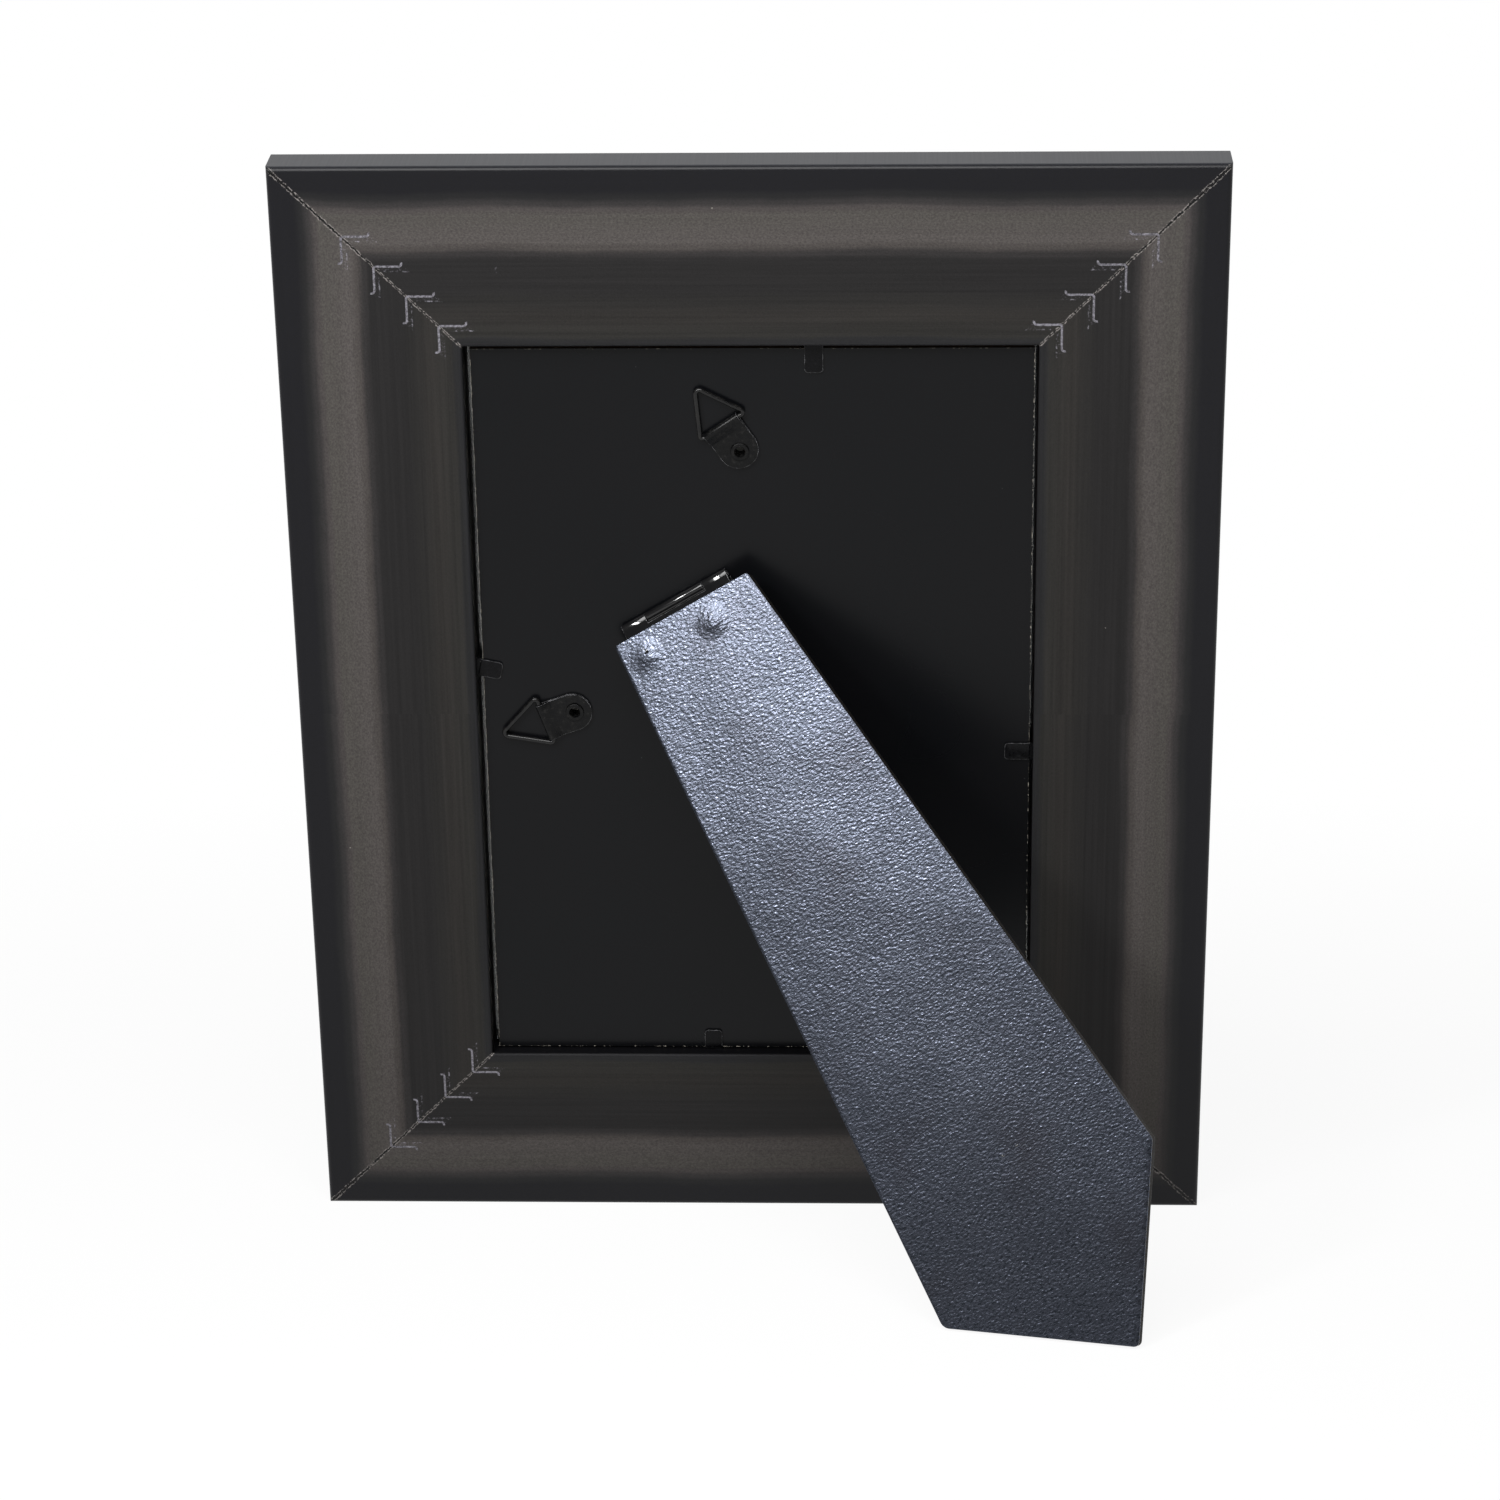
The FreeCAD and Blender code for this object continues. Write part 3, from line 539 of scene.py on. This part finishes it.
tab_black, tree, shader = new_finish("tab_black")
at = used(tree, bench_place).outputs["Place"]
rubbed = mottle(tree, at, 1.3, 4.0, 0.65)
coated = ramp(tree, rubbed, [(0.35, "030304"), (0.6, "08080a"), (0.75, "1c1c1d")], "LINEAR")
feed(tree, shader, {"Base Color": coated, "Roughness": ranged(tree, rubbed, 0.3, 0.7, 0.22, 0.36),
                    "Normal": raised(tree, rubbed, 0.2, 0.00008), "Specular IOR Level": 0.12})
for name in ("top", "bottom", "left", "right"):
    copied("tab_" + name, "tab_" + name, tab_black, tab_ease, rubbed_edge_and_highlight)
frame["nodes"]["tab_blades"].material_slots[0].material = tab_black


# Strut hinge
# Two leaves of black steel with rolled knuckles on one pin, riveted to the panel and to the
# strut. The lacquer has kept its gloss on the knuckles and gone dull on the flat leaves.

hinge_turn, strut_opening = math.radians(31.0), math.radians(32.0)
knuckle_radius, leaf_from = 1.13, 1.3
leaf_ease, pin_ease = 0.00006, 0.00012      # metres
along = across * math.cos(hinge_turn) + up * math.sin(hinge_turn)
climb = up * math.cos(hinge_turn) - across * math.sin(hinge_turn)
strut_up = climb * math.cos(strut_opening) - out * math.sin(strut_opening)
strut_out = out * math.cos(strut_opening) + climb * math.sin(strut_opening)
pin = Vector(next(j["pos_m"] for j in frame["joints"] if j["name"] == "strut_hinge"))
strut_place = place_group("strut_place", pin, (along, strut_up, strut_out))

hinge_gloss, tree, shader = new_finish("hinge_gloss")
at = used(tree, bench_place).outputs["Place"]
on_pin = used(tree, strut_place)
from_pin = maths(tree, "SQRT", maths(tree, "ADD", maths(tree, "POWER", on_pin.outputs["Up"], 2.0),
                                     maths(tree, "POWER", on_pin.outputs["Out"], 2.0)))
uneven = mottle(tree, at, 0.9, 3.0, 0.6)
feed(tree, shader, {"Base Color": ramp(tree, uneven, [(0.35, "030304"), (0.7, "070708")], "LINEAR"),
                    "Coat Weight": ranged(tree, from_pin, knuckle_radius, leaf_from, 1.0, 0.0),
                    "Roughness": ranged(tree, uneven, 0.3, 0.7, 0.7, 0.85),
                    "Normal": raised(tree, uneven, 0.08, 0.0001),
                    "Specular IOR Level": 0.12, "Coat Roughness": 0.1})
for node, body, width in (("hinge_panel_leaf", "frame", leaf_ease), ("hinge_strut_leaf", "strut", leaf_ease),
                          ("hinge_pin", "frame", pin_ease)):
    copied(node, body, hinge_gloss, width, rubbed_edge_and_highlight)
for rivets in ("hinge_panel_rivets", "hinge_strut_rivets"):
    frame["nodes"][rivets].material_slots[0].material = hinge_gloss


# Strut
# A board of dark fibre, faced with black paper that is embossed with a fine leather grain, and
# lined with plain black paper. The grain's crests are burnished and shine bluish. The covering is
# creased over the rivets' heads, which show as two soft bumps with a pale spot above each, partly
# torn covering and partly a painted highlight, and a ring is scuffed near the foot.

strut_corners = [((-16.7, -3.3), 0.8), ((-16.7, -176.943), 2.6), ((21.622, -199.919), 1.2),
                 ((45.314, -160.489), 1.6), ((19.3, -3.3), 0.8)]
cover_back, cover_thickness = 3.8, 0.3
cover_face = 4.2                       # just above the covering, where marks lie
rivet_bumps = ((-10.6, -9.0), (7.0, -9.4))
bump_top, bump_spread, bump_height = 1.3, 2.6, 0.19
ring_middle, ring_radius = (14.4, -146.4, 4.1), 2.9
mesh_step = 1.4
cover_ease = 0.12

nothing_selected()
left, right = -17.5, 46.5
low, high = -201.0, -2.0
bpy.ops.mesh.primitive_grid_add(x_subdivisions=round((right - left) / mesh_step),
                                y_subdivisions=round((high - low) / mesh_step), size=1)
covering = bpy.context.object
covering.name = "strut_covering"
bpy.ops.object.mode_set(mode="EDIT")
bpy.ops.mesh.select_all(action="SELECT")
bpy.ops.transform.resize(value=(right - left, high - low, 1))
bpy.ops.transform.translate(value=((left + right) / 2, (low + high) / 2, cover_back + cover_thickness))


def trimmed(place, outwards):
    """Cuts away what lies beyond a straight line."""
    bpy.ops.mesh.select_all(action="SELECT")
    bpy.ops.mesh.bisect(plane_co=place, plane_no=outwards, clear_outer=True)


count = len(strut_corners)
for i in range(count):
    (corner, radius), (after, _) = strut_corners[i], strut_corners[(i + 1) % count]
    before = strut_corners[i - 1][0]
    corner, after, before = (Vector((*p, 0)) for p in (corner, after, before))
    ahead, behind = (after - corner).normalized(), (corner - before).normalized()
    normals = [Vector((d.y, -d.x, 0)) * -1 for d in (behind, ahead)]
    trimmed(corner, -normals[1])
    middle = (normals[0] + normals[1]).normalized()
    centre = corner + middle * (radius / middle.dot(normals[0]))
    for share in (0.2, 0.5, 0.8):        # three flats round each corner
        facing = -(normals[0].lerp(normals[1], share).normalized())
        trimmed(centre + facing * radius, facing)
bpy.ops.mesh.select_all(action="DESELECT")
bpy.ops.object.mode_set(mode="OBJECT")
for x, y in rivet_bumps:
    nothing_selected()
    covering.select_set(True)
    bpy.context.view_layer.objects.active = covering
    for vertex in covering.data.vertices:
        vertex.select = (vertex.co.xy - Vector((x, y))).length < bump_top
    bpy.ops.object.mode_set(mode="EDIT")
    bpy.ops.transform.translate(value=(0, 0, bump_height), use_proportional_edit=True,
                                proportional_edit_falloff="SMOOTH", proportional_size=bump_spread)
    bpy.ops.mesh.select_all(action="DESELECT")
    bpy.ops.object.mode_set(mode="OBJECT")
sheet = covering.modifiers.new("sheet", "SOLIDIFY")
sheet.thickness = cover_thickness
sheet.offset = -1
bpy.ops.object.modifier_apply(modifier="sheet")
softened = covering.modifiers.new("softened", "BEVEL")
softened.width = cover_ease
softened.segments = 2
softened.limit_method = "ANGLE"
softened.angle_limit = math.radians(50)
bpy.ops.object.modifier_apply(modifier="softened")
strut_frame = Matrix.Translation(pin) @ Matrix((along, strut_up, strut_out)).transposed().to_4x4()
covering.matrix_world = strut_frame @ Matrix.Scale(0.001, 4)
bpy.ops.object.transform_apply(location=True, rotation=True, scale=True)
bpy.ops.object.shade_smooth_by_angle(angle=math.radians(40))

leather_paper, tree, shader = new_finish("leather_paper")
strut = used(tree, strut_place)
at = strut.outputs["Place"]
grain = mottle(tree, stretched(tree, at, 1.0, 1.4, 1.0), 1.3, 1.0, 0.5)
fleck = mottle(tree, stretched(tree, at, 1.0, 1.4, 1.0), 1.2, 1.0, 0.5)
broad = mottle(tree, stretched(tree, at, 1.0, 0.8, 1.0), 0.035, 2.0)
brown = mottle(tree, at, 0.05, 3.0, 0.6)
ground = ramp(tree, fleck, [(0.40, "020304"), (0.60, "40434c")], "LINEAR")
brown_share = ranged(tree, brown, 0.52, 0.75, 0.0, 0.5)
ground = blended(tree, brown_share, ground, paint("1b1718"))
from_ring = far_from(tree, distance(tree, at, ring_middle), ring_radius)
ring_scuff = line_mask(tree, from_ring, 0.5, 0.22, at, 0.8)
# The pale spot on the upper side of each rivet bump is partly torn covering and partly a painted highlight
# on the bump's lit side.
tears_and_highlights, creases = [], []
for x, y in rivet_bumps:
    creases.append(ranged(tree, distance(tree, at, (x, y, cover_face)), 4.5, 1.5, 0.0, 2.8))
    tears_and_highlights.append(line_mask(tree, distance(tree, at, (x + 0.5, y + 2.2, cover_face)), 1.3, 0.3, at, 0.8))
scuffs_and_highlights = maths(tree, "MAXIMUM", ring_scuff, maths(tree, "MAXIMUM", *tears_and_highlights))
ground = marked(tree, dust_mask(tree, at, 5.0, 0.2, 0.25), 0.4, ground, "8a8c94")
shaped = raised(tree, broad, 0.25, 0.0012)
folds = mottle(tree, at, 0.45, 2.0, 0.6)
creased = maths(tree, "MULTIPLY_ADD", maths(tree, "MAXIMUM", *creases), folds, grain)
fine = wire(tree, "ShaderNodeBump", {"Height": creased, "Strength": 0.2, "Distance": 0.0003,
                                     "Normal": shaped})
glint = ranged(tree, fleck, 0.40, 0.60, 0.23, 0.21)
feed(tree, shader, {"Base Color": blended(tree, scuffs_and_highlights, ground, paint("b4b2ac")),
                    "Metallic": ranged(tree, fleck, 0.40, 0.60, 0.0, 0.95),
                    "Roughness": maths(tree, "MULTIPLY_ADD", broad, 0.04, glint),
                    "Normal": fine.outputs["Normal"],
                    "Specular Tint": (0.70, 0.79, 1.0, 1)})
covering.data.materials.append(leather_paper)
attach(covering, "strut")
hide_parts("strut_cover")

dark_board, tree, shader = new_finish("dark_board")
at = used(tree, strut_place).outputs["Place"]
layers = mottle(tree, stretched(tree, at, 0.8, 0.8, 5.0), 1.0, 4.0, 0.65)
feed(tree, shader, {"Base Color": ramp(tree, layers, [(0.3, "100f0e"), (0.7, "26221e")], "LINEAR"),
                    "Normal": raised(tree, layers, 0.5, 0.0002),
                    "Roughness": 0.7, "Specular IOR Level": 0.12})
frame["nodes"]["strut_board"].material_slots[0].material = dark_board

lining_paper, tree, shader = new_finish("lining_paper")
at = used(tree, strut_place).outputs["Place"]
fibre = mottle(tree, at, 0.8, 4.0, 0.6)
feed(tree, shader, {"Base Color": ramp(tree, fibre, [(0.3, "121214"), (0.7, "1d1d20")], "LINEAR"),
                    "Normal": raised(tree, fibre, 0.3, 0.00008), "Roughness": 0.6})
frame["nodes"]["strut_lining"].material_slots[0].material = lining_paper


# Hangers
# Each is a triangle of black steel wire in a folded strap of the same steel, held to the panel
# by a hollow rivet. Stamped, bent and then lacquered, with the lacquer rubbed thin on the strap.

strap_ease = 0.00008                   # metres

hanger_lacquer, tree, shader = new_finish("hanger_lacquer")
at = used(tree, bench_place).outputs["Place"]
worn = mottle(tree, at, 0.8, 4.0, 0.65)
lacquer = ramp(tree, worn, [(0.4, "060607"), (0.58, "0d0d0d"), (0.74, "252423")], "LINEAR")
feed(tree, shader, {"Base Color": lacquer, "Roughness": ranged(tree, worn, 0.3, 0.7, 0.18, 0.36),
                    "Normal": raised(tree, worn, 0.3, 0.00012), "Specular IOR Level": 0.15})

hanger_wire, tree, shader = new_finish("hanger_wire")
at = used(tree, bench_place).outputs["Place"]
lustre = mottle(tree, at, 0.8, 4.0, 0.65)
feed(tree, shader, {"Base Color": ramp(tree, lustre, [(0.4, "060607"), (0.74, "1a1918")], "LINEAR"),
                    "Roughness": ranged(tree, lustre, 0.3, 0.7, 0.16, 0.3), "Specular IOR Level": 0.3})

for hanger in ("hanger_top", "hanger_side"):
    copied(hanger + "_strap", hanger, hanger_lacquer, strap_ease, rubbed_edge_and_highlight)
    copied(hanger + "_eyelet", "frame", hanger_lacquer)
    frame["nodes"][hanger + "_ring"].material_slots[0].material = hanger_wire
